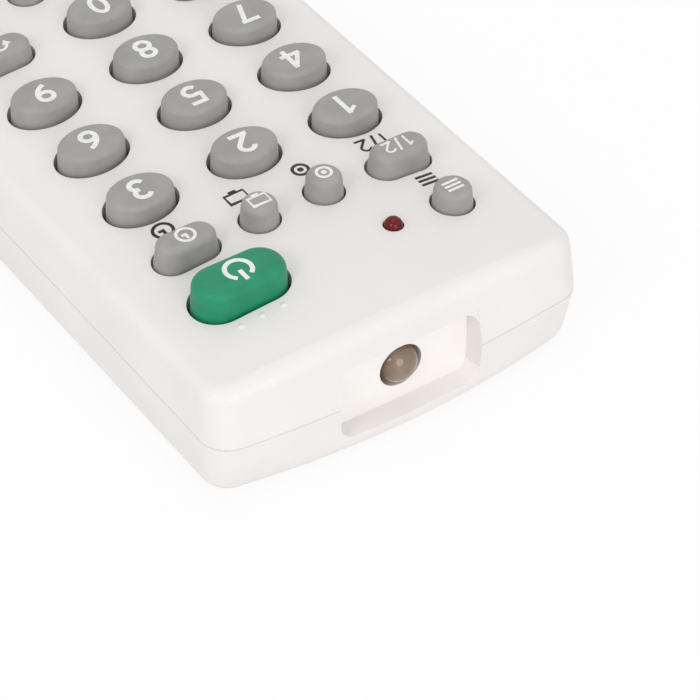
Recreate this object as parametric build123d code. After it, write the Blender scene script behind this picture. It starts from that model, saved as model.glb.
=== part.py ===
# Universal remote control: a white two-part case, a rubber keypad and the parts inside.
# Lies on its back with the keys up. X points to the user's right, Y to the infrared end.
# The origin is in the middle of the footprint, on the surface that the case rests on.
from build123d import *
from math import atan, degrees, radians, sqrt, tan
import os

os.makedirs("parts", exist_ok=True)

# Case, outside
case_height = 16.0            # along the middle of the crowned face
parting_height = 8.0
crown_radius = 183.0
side_draw_above = 0.4         # how far a side leans in, from the parting line to the face
side_draw_below = 0.4         # the same, down to the underside
front_draw_above = 1.6
front_draw_below = 0.5
tail_draw_above = 0.9
tail_draw_below = 0.5
front_arc_face = 300.0        # plan radius of the infrared end at the face
front_arc_parting = 170.0
front_arc_under = 90.0
tail_arc = 62.0
front_corner = 3.4
tail_corner = 9.0
face_edge_round = 1.8
under_edge_round = 3.2
seam_bevel = 0.1              # tiny bevel that shows the parting line

# Case, inside
side_wall = 2.0
front_wall = 4.4
tail_wall = 2.0
roof = 2.0
base = 2.0
inner_front_corner = 1.2
lip_height = 1.2              # tongue on the lower case that enters the upper one
lip_width = 0.9
lip_clearance = 0.1
overrun = 1.0                 # how far a cutter runs past what it cuts

# Infrared end
window_width = 16.6
window_drop = 4.35            # from the light's axis to the window's lower edge
window_lift = 4.0             # from the axis to its upper edge
window_depth = 2.5
window_corner = 1.6
window_flare = 12.0           # degrees that its sides lean outwards
ir_radius = 2.4
ir_clearance = 0.2
ir_length = 8.6
ir_show = 1.3                 # how far the tip stands out of the window
ir_rim = 0.5
ir_rim_length = 1.0
ir_lead = 0.5
ir_lead_spacing = 2.54
ir_lead_run = 5.0
cradle_length = 2.0
cradle_width = 8.0

# Keys: sizes where the key leaves the face, and the share of its height by which it narrows
digit_draft = 0.06
round_draft = 0.08
bar_draft = 0.14
digit_half_x = 3.9
digit_half_y = 3.0
digit_gap = 0.45
digit_stand = 2.0
digit_round = 0.65
round_radius = 2.1
round_gap = 0.25
round_stand = 2.65
round_round = 0.9
menu_radius = 2.2
menu_gap = 0.28
menu_stand = 2.3
menu_round = 0.7
bar_length = 7.3
bar_width = 4.1
bar_gap = 0.3
bar_stand = 2.65
bar_round = 0.9
side_bar_length = 7.9
side_bar_width = 4.3
side_bar_gap = 0.35
side_bar_stand = 2.2
side_bar_round = 0.8
power_length = 10.8
power_width = 5.8
power_gap = 0.4
power_stand = 3.05
power_round = 1.2
key_travel = 0.9
key_rest_gap = 0.1            # left above the board when a key is down
flange_margin = 0.85          # flange beyond the key's hole
flange_thickness = 0.8
flange_drop = 0.7             # below the roof's inner face, at the key's middle
pill_radius = 1.6

# Key places, counted from the two key; the middles of the outer keys from the outer number keys'
two_set_back = 31.8           # from the infrared end to the two key
column_pitch = 13.0
key_side_room = 6.2           # from the outer number keys to the case's side, at the parting line
row_pitch = 10.05
upper_row = 9.6
upper_bar_out = 0.35
upper_round_left = 3.8
upper_round_right = 4.3
power_in = 0.9
power_row = 17.75
menu_out = 1.4
menu_row = 18.1
lamp_x = 6.8
lamp_row = 18.1
digit_rows = 3
lower_row_gap = 8.85          # from the zero's row
lower_bar_out = 0.3
lower_round_x = 4.4
cluster_gap = 20.5
cluster_in = 0.8
cluster_reach_y = 10.1
keys_to_bay = 5.2             # from the last key's hole to the battery bay

# Pips beside the power key
pip_radius = 0.4
pip_height = 0.15
pip_pitch = 2.55
pip_row = 22.1
pip_count = 3

# Board and keypad mat
board_thickness = 1.2
board_drop = 0.4              # board's underside above the parting plane
board_side_gap = 1.6
board_set_back = 9.3
board_tail_gap = 1.2          # behind it stands the battery bay
board_notch_half = 3.8
board_notch_depth = 4.2
mat_thickness = 1.2
mat_margin = 2.2              # board beyond the mat at the sides
mat_hole_gap = 0.45
post_radius = 1.4
post_inset = 2.1              # from the inner wall to a post's axis
post_from_front = 8.6         # from the board's ends
post_from_tail = 7.0
clamp_length = 3.0
clamp_width = 1.2

# Parts on the board's underside: places are across, and back from the board's front
chip_length = 12.8
chip_width = 7.5
chip_height = 2.3
chip_place = (0.0, 46.6)
chip_pin_pitch = 1.27
chip_pin_width = 0.45
chip_pin_reach = 1.3
chip_pin_thickness = 0.25
chip_pins_side = 10
chip_lift = 0.15
resonator_length = 7.4
resonator_width = 3.2
resonator_height = 4.6
resonator_place = (11.0, 44.6)
capacitor_radius = 2.5
capacitor_length = 7.0
capacitor_place = (-11.0, 82.6)
capacitor_groove = 0.25
capacitor_groove_place = 1.4
transistor_radius = 2.3
transistor_length = 4.6
transistor_flat = 1.1
transistor_place = (-8.0, 14.6)
resistor_radius = 0.9
resistor_length = 3.6
resistor_bevel = 0.3
resistor_lead = 0.25
resistor_lead_run = 2.0
resistor_places = ((8.0, 26.6), (8.0, 30.6), (-12.0, 34.6), (-12.0, 58.6))
part_gap = 0.1                # between the board and a part that lies on it

# Indicator light
lamp_radius = 1.05
lamp_hole_gap = 0.1
lamp_show = 0.95
lamp_rim = 0.45
lamp_rim_height = 0.8

# Cells and battery bay
cell_radius = 5.25
cell_length = 44.5
cell_button_radius = 1.9
cell_button_height = 1.0
cell_end_round = 0.5
cell_pitch = 10.9
cell_lift = 0.2               # above the door
bay_side_gap = 0.4
bay_end_gap = 0.2
bay_wall = 1.2
bay_roof = 0.6
bay_roof_gap = 0.2
bay_tail_gap = 0.3            # between the bay and the curved tail wall
spring_room = 4.0
spring_wire = 0.5
spring_radius_wide = 3.4
spring_radius_tip = 2.2
spring_half_turns = 7
contact_thickness = 0.3
contact_width = 8.4
contact_height = 8.4
contact_dimple_radius = 1.6
contact_tail = 2.6

# Battery door
door_thickness = 1.8
door_half_width = 16.8
door_end_half_width = 18.6
door_end_length = 5.0
door_clearance = 0.2
door_cover = 2.9              # of the case that it covers in front of the bay
door_end_height = 7.8
rail_width = 1.0
rail_height = 0.9
rail_clearance = 0.12
shelf_thickness = 1.2
latch_half_width = 1.4
latch_height = 1.0
latch_base = 2.4
latch_reach = 2.2
latch_clearance = 0.2
grip_width = 14.0
grip_length = 8.0
grip_depth = 0.55
grip_place = 9.0              # behind the door's front edge
grip_ribs = 5
grip_rib_width = 0.7
grip_rib_height = 0.4
arrow_length = 3.6
arrow_width = 5.0
arrow_gap = 2.4

# Case screws
screw_x = 15.0
screw_from_front = 6.6        # from the ends of the bay
screw_from_tail = 6.9
screw_head_radius = 1.8
screw_head_height = 1.4
screw_radius = 0.85
screw_length = 8.0            # below the head
screw_pilot_room = 0.6        # left beyond the screw's tip
screw_fit = 0.03
screw_boss_radius = 2.65
screw_bore_gap = 0.25
screw_head_gap = 0.25
screw_slot = 0.5
screw_slot_length = 2.2
screw_slot_depth = 0.7

# Snap hooks between the shells
hook_length = 6.0
hook_thickness = 0.9
hook_drop = 2.6
hook_barb = 0.45
hook_gap = 0.12
hook_shares = (0.197, 0.512, 0.767)   # of the length, from the tail
hook_slot_gap = 0.2

# Levels and places that follow from the sizes
half_width = column_pitch + digit_half_x + key_side_room
case_width = 2 * half_width
upper_bar_x = column_pitch + upper_bar_out
lower_bar_x = column_pitch + lower_bar_out
menu_x = column_pitch + menu_out
power_x = column_pitch - power_in
cluster_reach_x = column_pitch - cluster_in
inner_half = half_width - side_wall
lower_row = digit_rows * row_pitch + lower_row_gap
cluster_row = lower_row + cluster_gap
key_field = cluster_row + cluster_reach_y + digit_half_y + digit_gap
bay_half = cell_pitch / 2 + cell_radius + bay_side_gap
bay_room = cell_length + spring_room + 2 * (contact_thickness + bay_end_gap)
bay_tail_sag = tail_arc - sqrt(tail_arc**2 - (bay_half + bay_wall)**2)
bay_behind = bay_wall + bay_tail_gap + bay_tail_sag + tail_draw_above + tail_wall
case_length = two_set_back + key_field + keys_to_bay + bay_wall + bay_room + bay_behind
front_y = case_length / 2
tail_y = -case_length / 2
two_y = front_y - two_set_back
bay_tail = tail_y + bay_behind
bay_front = bay_tail + bay_room
door_front = bay_front + door_cover
board_front = front_y - board_set_back
board_tail = bay_front + bay_wall + board_tail_gap
post_places = (board_front - post_from_front, (board_front + board_tail) / 2, board_tail + post_from_tail)
hook_places = [tail_y + part * case_length for part in hook_shares]
screw_places = (bay_front - screw_from_front, bay_tail + screw_from_tail)
hook_face = inner_half - side_draw_below * hook_drop / parting_height - hook_gap
board_under = parting_height + board_drop
board_top = board_under + board_thickness
mat_top = board_top + mat_thickness
ceiling = case_height - roof
board_half = inner_half - board_side_gap
shelf_low = door_thickness + door_clearance
shelf_high = shelf_low + shelf_thickness
cell_z = door_thickness + cell_lift + cell_radius
bay_ceiling = cell_z + cell_radius + bay_roof_gap
screw_seat = shelf_low + screw_head_gap + screw_head_height
screw_tip = screw_seat + screw_length


def share(start, end, part):
    return start + (end - start) * part


def face_height(x):
    # height of the crowned face at this distance from the middle
    return case_height - crown_radius + sqrt(crown_radius**2 - x**2)


def ceiling_height(x):
    inner = crown_radius - roof
    return case_height - crown_radius + sqrt(inner**2 - x**2)


def box(x0, x1, y0, y1, z0, z1):
    size = Box(x1 - x0, y1 - y0, z1 - z0, align=(Align.MIN, Align.MIN, Align.MIN))
    return Pos(x0, y0, z0) * size


def post(x, y, z0, z1, radius):
    solid = Cylinder(radius, z1 - z0, align=(Align.CENTER, Align.CENTER, Align.MIN))
    return Pos(x, y, z0) * solid


def plan(z, side_in=0.0, front_in=0.0, tail_in=0.0, front_round=front_corner, tail_round=tail_corner):
    # outline of the case at one height, or one that lies inside it by the given walls
    if z >= parting_height:
        part = (z - parting_height) / (case_height - parting_height)
        side, front, tail = side_draw_above, front_draw_above, tail_draw_above
        front_arc = share(front_arc_parting, front_arc_face, part)
    else:
        part = (parting_height - z) / parting_height
        side, front, tail = side_draw_below, front_draw_below, tail_draw_below
        front_arc = share(front_arc_parting, front_arc_under, part)
    half = half_width - side * part - side_in
    front = front_y - front * part - front_in
    tail = tail_y + tail * part + tail_in
    front_side = front - front_arc + sqrt(front_arc**2 - half**2)
    tail_side = tail + tail_arc - sqrt(tail_arc**2 - half**2)
    right = Line((half, tail_side), (half, front_side))
    end = ThreePointArc((half, front_side), (0, front), (-half, front_side))
    left = Line((-half, front_side), (-half, tail_side))
    back = ThreePointArc((-half, tail_side), (0, tail), (half, tail_side))
    sketch = make_face(right + end + left + back)
    sketch = fillet(sketch.vertices().filter_by(lambda v: v.Y > 0), front_round)
    sketch = fillet(sketch.vertices().filter_by(lambda v: v.Y < tail_side + overrun / 2), tail_round)
    return Pos(0, 0, z) * sketch


def crowned_block(top, radius):
    # a long block whose upper side is the crown, to trim the case and its hollow
    wide = half_width + overrun
    edge = top - radius + sqrt(radius**2 - wide**2)
    arc = ThreePointArc((-wide, edge), (0, top), (wide, edge))
    sides = Polyline((wide, edge), (wide, -overrun), (-wide, -overrun), (-wide, edge))
    profile = Plane.XZ * make_face(arc + sides)
    return extrude(profile, amount=case_length, both=True)


def case_body():
    levels = [0, parting_height, case_height + overrun]
    body = loft([plan(z) for z in levels], ruled=True) & crowned_block(case_height, crown_radius)
    body = fillet(body.faces().sort_by(Axis.Z)[-1].edges(), face_edge_round)
    return fillet(body.faces().sort_by(Axis.Z)[0].edges(), under_edge_round)


def case_hollow(low):
    walls = dict(side_in=side_wall, front_in=front_wall, tail_in=tail_wall,
                 front_round=inner_front_corner, tail_round=tail_corner - tail_wall)
    levels = [low, parting_height, case_height + overrun]
    space = loft([plan(z, **walls) for z in levels], ruled=True)
    return space & crowned_block(ceiling, crown_radius - roof)


def window_cut():
    # rectangular window sunk into the infrared end, half in each shell
    height = window_drop + window_lift
    middle = parting_height - window_drop + height / 2
    level = Plane(origin=(0, front_y - window_depth, middle), x_dir=(1, 0, 0), z_dir=(0, 1, 0))
    floor = level * RectangleRounded(window_width, height, window_corner)
    return extrude(floor, amount=window_depth + overrun, taper=-window_flare)


def ir_hole():
    hole = Cylinder(ir_radius + ir_clearance, front_wall + window_depth + overrun)
    return Pos(0, front_y - front_wall / 2, parting_height) * Rot(90, 0, 0) * hole


# Keys

def oval(half_x, half_y, grow):
    return Ellipse(half_x + grow, half_y + grow)


def slot(length, width, grow):
    return SlotOverall(length + 2 * grow, width + 2 * grow)


def disc(radius, grow):
    return Circle(radius + grow)


key_kinds = {
    "digit": dict(outline=lambda grow: oval(digit_half_x, digit_half_y, grow),
                  gap=digit_gap, stand=digit_stand, rounding=digit_round, draft=digit_draft),
    "round": dict(outline=lambda grow: disc(round_radius, grow),
                  gap=round_gap, stand=round_stand, rounding=round_round, draft=round_draft),
    "menu": dict(outline=lambda grow: disc(menu_radius, grow),
                 gap=menu_gap, stand=menu_stand, rounding=menu_round, draft=round_draft),
    "bar": dict(outline=lambda grow: slot(bar_length, bar_width, grow),
                gap=bar_gap, stand=bar_stand, rounding=bar_round, draft=bar_draft),
    "side_bar": dict(outline=lambda grow: slot(side_bar_length, side_bar_width, grow),
                     gap=side_bar_gap, stand=side_bar_stand, rounding=side_bar_round, draft=bar_draft),
    "power": dict(outline=lambda grow: slot(power_length, power_width, grow),
                  gap=power_gap, stand=power_stand, rounding=power_round, draft=digit_draft),
}

digit_names = ("one", "two", "three", "four", "five", "six", "seven", "eight", "nine")
keys = [("power", "power", power_x, power_row), ("menu", "menu", -menu_x, menu_row)]
keys += [("input", "bar", -upper_bar_x, upper_row), ("timer", "bar", upper_bar_x, upper_row)]
keys += [("scan", "round", -upper_round_left, upper_row), ("screen", "round", upper_round_right, upper_row)]
for number, name in enumerate(digit_names):
    keys.append((name, "digit", (number % digit_rows - 1) * column_pitch, -(number // digit_rows) * row_pitch))
zero_row = -digit_rows * row_pitch
keys += [("zero", "digit", 0.0, zero_row)]
keys += [("dash", "side_bar", -column_pitch, zero_row), ("recall", "side_bar", column_pitch, zero_row)]
keys += [("sound", "bar", -lower_bar_x, -lower_row), ("sleep", "bar", lower_bar_x, -lower_row)]
keys += [("mute", "round", -lower_round_x, -lower_row), ("info", "round", lower_round_x, -lower_row)]
keys += [("channel_up", "digit", 0.0, -cluster_row + cluster_reach_y)]
keys += [("channel_down", "digit", 0.0, -cluster_row - cluster_reach_y)]
keys += [("volume_down", "digit", -cluster_reach_x, -cluster_row)]
keys += [("volume_up", "digit", cluster_reach_x, -cluster_row)]
keys += [("confirm", "round", 0.0, -cluster_row)]


def key_holes():
    for name, kind, x, row in keys:
        key = key_kinds[kind]
        opening = extrude(key["outline"](key["gap"]), amount=case_height)
        yield Pos(x, two_y + row, parting_height) * opening


def key_solid(kind, x, row):
    # cap, flange that stops it under the roof, and contact pill, in one rubber piece
    key = key_kinds[kind]
    outline, stand, draft = key["outline"], key["stand"], key["draft"]
    face = face_height(x)
    flange_top = ceiling_height(x) - flange_drop
    below = face - flange_top
    low = outline(draft * below)
    high = Pos(0, 0, below + stand) * outline(-draft * stand)
    cap = loft([low, high], ruled=True)
    cap = fillet(cap.faces().sort_by(Axis.Z)[-1].edges(), key["rounding"])
    flange = Pos(0, 0, -flange_thickness) * extrude(outline(key["gap"] + flange_margin), amount=flange_thickness)
    pill_low = board_top + key_travel + key_rest_gap - flange_top
    pill = post(0, 0, pill_low, 0, pill_radius)
    return Pos(x, two_y + row, flange_top) * (cap + flange + pill)


# Shells

def seam_groove():
    # bevels the outer edges of both shells where they meet
    outside = extrude(plan(parting_height), amount=seam_bevel, both=True)
    inside = plan(parting_height, side_in=seam_bevel, front_in=seam_bevel, tail_in=seam_bevel)
    return outside - extrude(inside, amount=seam_bevel + overrun, both=True)


def lip_block(grow, height):
    walls = dict(side_in=side_wall - lip_width - grow, front_in=front_wall - lip_width - grow,
                 tail_in=tail_wall - lip_width - grow, front_round=inner_front_corner + lip_width,
                 tail_round=tail_corner - tail_wall + lip_width)
    return extrude(plan(parting_height, **walls), amount=height)


def hook_sites():
    for y in hook_places:
        for side in (-1, 1):
            yield side, y


def mirrored(solid, side):
    return solid if side > 0 else mirror(solid, about=Plane.YZ)


def hook_tab(side, y):
    # tab of the upper case that reaches down along the lower wall, with its root above the lip
    low = parting_height - hook_drop
    y0, y1 = y - hook_length / 2, y + hook_length / 2
    tab = box(hook_face - hook_thickness, hook_face, y0, y1, low, parting_height + hook_drop)
    root_low = parting_height + lip_height + 2 * lip_clearance
    root = box(hook_face - hook_thickness, inner_half + side_wall / 4, y0, y1, root_low,
               parting_height + hook_drop)
    return mirrored(tab + root, side) + hook_nose(side, y, 0)


def hook_nose(side, y, grow):
    # wedge on the tab's outer face, or the slightly larger notch that it clicks into
    low = parting_height - hook_drop
    tip = hook_face + hook_gap + hook_barb + grow
    wedge = Polyline((hook_face, low - grow), (tip, low + hook_barb - grow), (tip, low + 2 * hook_barb + grow),
                     (hook_face, low + 3 * hook_barb + grow), close=True)
    nose = extrude(Plane.XZ * make_face(wedge), amount=hook_length / 2 + grow, both=True)
    return mirrored(Pos(0, y, 0) * nose, side)


def upper_case(body):
    shell = body & box(-case_width, case_width, -case_length, case_length, parting_height, 2 * case_height)
    shell -= case_hollow(base)
    shell -= lip_block(lip_clearance, lip_height + lip_clearance)
    shell -= seam_groove()
    shell -= window_cut()
    shell -= ir_hole()
    for hole in key_holes():
        shell -= hole
    lamp_hole = lamp_radius + lamp_hole_gap
    shell -= post(-lamp_x, two_y + lamp_row, parting_height, 2 * case_height, lamp_hole)
    # bosses for the case screws, ribs that clamp the board, and the snap hooks
    for y in screw_places:
        for x in (-screw_x, screw_x):
            boss = post(x, y, parting_height, ceiling_height(screw_x) + roof / 2, screw_boss_radius)
            shell += boss - post(x, y, parting_height - overrun, screw_tip + screw_pilot_room,
                                 screw_radius + screw_fit)
    for y in post_places:
        for side in (-1, 1):
            middle = side * (inner_half - post_inset)
            shell += box(middle - clamp_width / 2, middle + clamp_width / 2, y - clamp_length / 2,
                         y + clamp_length / 2, board_top, ceiling_height(inner_half) + roof / 2)
    for side, y in hook_sites():
        shell += hook_tab(side, y)
    # small pips that mark the power key by touch
    sphere = (pip_radius**2 + pip_height**2) / (2 * pip_height)
    for number in range(pip_count):
        x = power_x + (number - (pip_count - 1) / 2) * pip_pitch
        ball = Pos(x, two_y + pip_row, face_height(x) + pip_height - sphere) * Sphere(sphere)
        shell += ball & post(x, two_y + pip_row, face_height(x) - roof / 2, 2 * case_height, pip_radius)
    return shell


# Battery bay: it hangs between the shells behind the board and opens to the door

def door_outline(grow):
    # plan of the door: a wide end that closes the tail, a narrower plate in front of it
    end_front = tail_y + door_end_length + grow
    end = box(-door_end_half_width - grow, door_end_half_width + grow, tail_y - overrun, end_front,
              -overrun, door_end_height + grow)
    plate = box(-door_half_width - grow, door_half_width + grow, tail_y, door_front + grow,
                -overrun, door_thickness + grow)
    return end + plate


def rails(grow, top):
    # tongues along both edges of the door, or the grooves that they run in
    half = door_half_width + rail_width + grow
    return box(-half, half, tail_y + door_end_length - overrun, door_front + grow,
               door_thickness - rail_height - grow, top)


def lower_case(body):
    shell = body & box(-case_width, case_width, -case_length, case_length, -overrun, parting_height)
    shell -= case_hollow(base)
    lip = lip_block(0, lip_height) - case_hollow(base)
    shell += lip
    shell -= seam_groove()
    # shelf, walls and roof of the battery bay
    shelf = box(-inner_half - overrun / 2, inner_half + overrun / 2, bay_tail - bay_wall,
                door_front + bay_wall, shelf_low, shelf_high)
    bay = box(-bay_half - bay_wall, bay_half + bay_wall, bay_tail - bay_wall, bay_front + bay_wall,
              shelf_low, bay_ceiling + bay_roof)
    room = box(-bay_half, bay_half, bay_tail, bay_front, -overrun, bay_ceiling)
    shell += (shelf + bay) & body
    shell -= room
    # door opening, rail grooves and the channel that the latch tab runs in
    shell -= door_outline(door_clearance)
    shell -= rails(rail_clearance, shelf_low)
    end_half = door_end_half_width + door_clearance
    shell -= box(-end_half, end_half, tail_y, tail_y + door_end_length, parting_height - overrun,
                 parting_height + lip_height)
    channel_half = latch_half_width + latch_clearance
    shell -= box(-channel_half, channel_half, bay_front - overrun, door_front + latch_reach + door_clearance,
                 shelf_low, shelf_high)
    shell -= window_cut()
    shell -= ir_hole()
    # posts under the board
    for y in post_places:
        for side in (-1, 1):
            shell += post(side * (inner_half - post_inset), y, base / 2, board_under, post_radius)
    # screw bosses with their counterbores
    for y in screw_places:
        for x in (-screw_x, screw_x):
            shell += post(x, y, shelf_low, parting_height, screw_boss_radius)
            shell -= post(x, y, -overrun, screw_seat, screw_head_radius + screw_head_gap)
            shell -= post(x, y, shelf_low, parting_height + overrun, screw_radius + screw_bore_gap)
    # cradle under the infrared light
    cradle_front = front_y - front_wall
    cradle = box(-cradle_width / 2, cradle_width / 2, cradle_front - cradle_length, cradle_front + overrun / 2,
                 base / 2, parting_height)
    bore = Cylinder(ir_radius + ir_clearance, 2 * case_length)
    shell += cradle - Pos(0, 0, parting_height) * Rot(90, 0, 0) * bore
    for side, y in hook_sites():
        shell -= hook_nose(side, y, hook_slot_gap)
    return shell


def battery_door(body):
    lid = body & door_outline(0)
    inner = plan(parting_height, side_in=side_wall, front_in=front_wall, tail_in=tail_wall,
                 tail_round=tail_corner - tail_wall, front_round=inner_front_corner)
    lid -= Pos(0, 0, door_thickness - parting_height) * extrude(inner, amount=case_height)
    lid += rails(0, door_thickness)
    # latch tab: it runs over the edge of the lower case and clicks behind it
    top = door_thickness + latch_height
    lid += box(-latch_half_width, latch_half_width, door_front - latch_base, door_front,
               door_thickness - overrun / 2, top)
    lid += box(-latch_half_width, latch_half_width, door_front - latch_base, door_front + latch_reach,
               base + latch_clearance, top)
    # thumb grip: a shallow oval with ribs, and an arrow that shows which way the door goes
    grip_y = door_front - grip_place
    oval_cut = Pos(0, grip_y, -overrun) * extrude(Ellipse(grip_width / 2, grip_length / 2),
                                                  amount=overrun + grip_depth)
    lid -= oval_cut
    pitch = grip_length / (grip_ribs + 1)
    for number in range(grip_ribs):
        y = grip_y + (number - (grip_ribs - 1) / 2) * pitch
        rib = box(-grip_width / 2, grip_width / 2, y - grip_rib_width / 2, y + grip_rib_width / 2,
                  grip_depth - grip_rib_height, grip_depth + overrun / 4)
        lid += rib & oval_cut.moved(Location((0, 0, overrun / 4)))
    tip = grip_y - grip_length / 2 - arrow_gap - arrow_length
    arrow = make_face(Polyline((0, tip), (arrow_width / 2, tip + arrow_length),
                               (-arrow_width / 2, tip + arrow_length), close=True))
    lid -= Pos(0, 0, -overrun) * extrude(arrow, amount=overrun + grip_depth / 2)
    return lid


# Board, mat and what the board carries

def board_outline(side_gap, hem):
    # sheet with round corners and a notch in front for the infrared light
    front, tail = board_front - hem, board_tail + hem
    half = inner_half - side_gap
    sheet = Pos(0, (front + tail) / 2) * RectangleRounded(2 * half, front - tail, front_corner)
    deep = board_notch_depth + overrun + hem
    notch = Rectangle(2 * (board_notch_half + hem), deep)
    return sheet - Pos(0, board_front - board_notch_depth - hem + deep / 2) * notch


def circuit_board():
    return Pos(0, 0, board_under) * extrude(board_outline(board_side_gap, 0), amount=board_thickness)


def keypad_mat():
    hem = board_side_gap / 2
    mat = Pos(0, 0, board_top) * extrude(board_outline(board_side_gap + mat_margin, hem), amount=mat_thickness)
    for name, kind, x, row in keys:
        mat -= post(x, two_y + row, board_top - overrun, mat_top + overrun, pill_radius + mat_hole_gap)
    rim = lamp_radius + lamp_rim + mat_hole_gap
    mat -= post(-lamp_x, two_y + lamp_row, board_top - overrun, mat_top + overrun, rim)
    return mat


def controller_chip():
    x, back = chip_place
    y = board_front - back
    top = board_under - chip_lift
    chip = box(x - chip_width / 2, x + chip_width / 2, y - chip_length / 2, y + chip_length / 2,
               top - chip_height, top)
    chip = chamfer(chip.faces().sort_by(Axis.Z)[0].edges(), chip_lift)
    for number in range(chip_pins_side):
        pin_y = y + (number - (chip_pins_side - 1) / 2) * chip_pin_pitch
        for side in (-1, 1):
            inner = x + side * (chip_width / 2 - chip_lift)
            outer = x + side * (chip_width / 2 + chip_pin_reach)
            chip += box(min(inner, outer), max(inner, outer), pin_y - chip_pin_width / 2,
                        pin_y + chip_pin_width / 2, board_under - chip_lift - chip_pin_thickness, board_under)
    return chip


def resonator():
    x, back = resonator_place
    y = board_front - back
    block = Pos(x, y) * RectangleRounded(resonator_length, resonator_width, resonator_width / 3)
    return Pos(0, 0, board_under - resonator_height) * extrude(block, amount=resonator_height)


def capacitor():
    # can that lies along the board, with the crimped groove near its rubber seal
    x, back = capacitor_place
    y = board_front - back
    centre = board_under - part_gap - capacitor_radius
    can = Cylinder(capacitor_radius, capacitor_length)
    ring = Cylinder(capacitor_radius + overrun, 2 * capacitor_groove)
    ring -= Cylinder(capacitor_radius - capacitor_groove, 2 * capacitor_groove)
    can -= Pos(0, 0, capacitor_length / 2 - capacitor_groove_place) * ring
    return Pos(x, y, centre) * Rot(90, 0, 0) * can


def drive_transistor():
    x, back = transistor_place
    y = board_front - back
    body = Cylinder(transistor_radius, transistor_length)
    body &= Pos(0, transistor_flat - transistor_radius) * Box(2 * transistor_radius, 2 * transistor_radius,
                                                             transistor_length)
    turned = Rot(90, 0, 0) * body
    top = turned.bounding_box().max.Z
    return Pos(x, y, board_under - top) * turned


def resistors():
    group = []
    centre = board_under - part_gap - resistor_radius
    for x, back in resistor_places:
        y = board_front - back
        body = Cylinder(resistor_radius, resistor_length)
        body = chamfer(body.edges().filter_by(GeomType.CIRCLE), resistor_bevel)
        wire = Cylinder(resistor_lead, resistor_length + 2 * resistor_lead_run)
        piece = Pos(x, y, centre) * Rot(0, 90, 0) * (body + wire)
        for side in (-1, 1):
            end = x + side * (resistor_length / 2 + resistor_lead_run - resistor_lead)
            piece += post(end, y, centre, board_under, resistor_lead)
        group.append(piece)
    return Compound(children=group)


def ir_light():
    # clear-domed light along Y, its rim behind the wall and its leads bent up to the board
    back = front_y - window_depth + ir_show - ir_length
    straight = ir_length - ir_radius
    outline = make_face(Polyline((0, 0), (ir_radius + ir_rim, 0), (ir_radius + ir_rim, ir_rim_length),
                                 (ir_radius, ir_rim_length), (ir_radius, straight))
                        + RadiusArc((ir_radius, straight), (0, ir_length), -ir_radius)
                        + Line((0, ir_length), (0, 0)))
    lens = revolve(Plane.XZ * outline, axis=Axis.Z)
    lens = Pos(0, back, parting_height) * Rot(-90, 0, 0) * lens
    leads = None
    lead_top = parting_height + ir_lead / 2
    for side in (-1, 1):
        x = side * ir_lead_spacing / 2
        run = box(x - ir_lead / 2, x + ir_lead / 2, back - ir_lead_run, back + ir_lead / 2,
                  lead_top - ir_lead, lead_top)
        rise = box(x - ir_lead / 2, x + ir_lead / 2, back - ir_lead_run, back - ir_lead_run + ir_lead,
                   lead_top - ir_lead, board_under)
        leads = run + rise if leads is None else leads + run + rise
    return lens + leads


def indicator_light():
    x, y = -lamp_x, two_y + lamp_row
    top = face_height(lamp_x) + lamp_show
    stem = post(x, y, board_top, top - lamp_radius, lamp_radius)
    rim = post(x, y, board_top, board_top + lamp_rim_height, lamp_radius + lamp_rim)
    dome = Pos(x, y, top - lamp_radius) * Sphere(lamp_radius)
    return stem + rim + dome


# Cells and their contacts

cell_front_end = bay_front - contact_thickness - bay_end_gap
cell_tail_end = bay_tail + contact_thickness + bay_end_gap


def cell(x, button_forward):
    # a spring fills the room at the flat end
    body = Cylinder(cell_radius, cell_length - cell_button_height)
    body = fillet(body.edges(), cell_end_round)
    body += Pos(0, 0, (cell_length - cell_button_height) / 2 + cell_button_height / 2) * Cylinder(
        cell_button_radius, cell_button_height)
    turned = Rot(-90, 0, 0) * body if button_forward else Rot(90, 0, 0) * body
    box_y = turned.bounding_box()
    shift = cell_front_end - box_y.max.Y if button_forward else cell_tail_end - box_y.min.Y
    return Pos(x, shift, cell_z) * turned


def contact_plate(x, at_front, dimple):
    # plate on the bay's end wall, pressed out to meet the cell's button
    y0 = bay_front - contact_thickness if at_front else bay_tail
    plate = box(x - contact_width / 2, x + contact_width / 2, y0, y0 + contact_thickness,
                cell_z - contact_height / 2, cell_z + contact_height / 2)
    if dimple:
        face = y0 if at_front else y0 + contact_thickness
        plate += Pos(x, face, cell_z) * Rot(90, 0, 0) * Cylinder(contact_dimple_radius, bay_end_gap)
    return plate


def spring_coil(x, at_front):
    # conical coil of half turns, its foot let into the plate
    rise = spring_room + bay_end_gap - spring_wire
    step = rise / spring_half_turns
    radii = [share(spring_radius_wide, spring_radius_tip, number / spring_half_turns)
             for number in range(spring_half_turns + 1)]
    path = None
    for number in range(spring_half_turns):
        side = 1 if number % 2 == 0 else -1
        start = (side * radii[number], 0, number * step)
        middle = (0, side * (radii[number] + radii[number + 1]) / 2, (number + 1 / 2) * step)
        end = (-side * radii[number + 1], 0, (number + 1) * step)
        turn = ThreePointArc(start, middle, end)
        path = turn if path is None else path + turn
    section = Plane(origin=path @ 0, z_dir=path % 0) * Circle(spring_wire / 2)
    coil = sweep(section, path=path)
    if at_front:
        return Pos(x, bay_front - contact_thickness, cell_z) * Rot(90, 0, 0) * coil
    return Pos(x, bay_tail + contact_thickness, cell_z) * Rot(-90, 0, 0) * coil


def front_spring():
    # negative contact of the left cell
    return contact_plate(-cell_pitch / 2, True, False) + spring_coil(-cell_pitch / 2, True)


def front_contact():
    return contact_plate(cell_pitch / 2, True, True)


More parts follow.
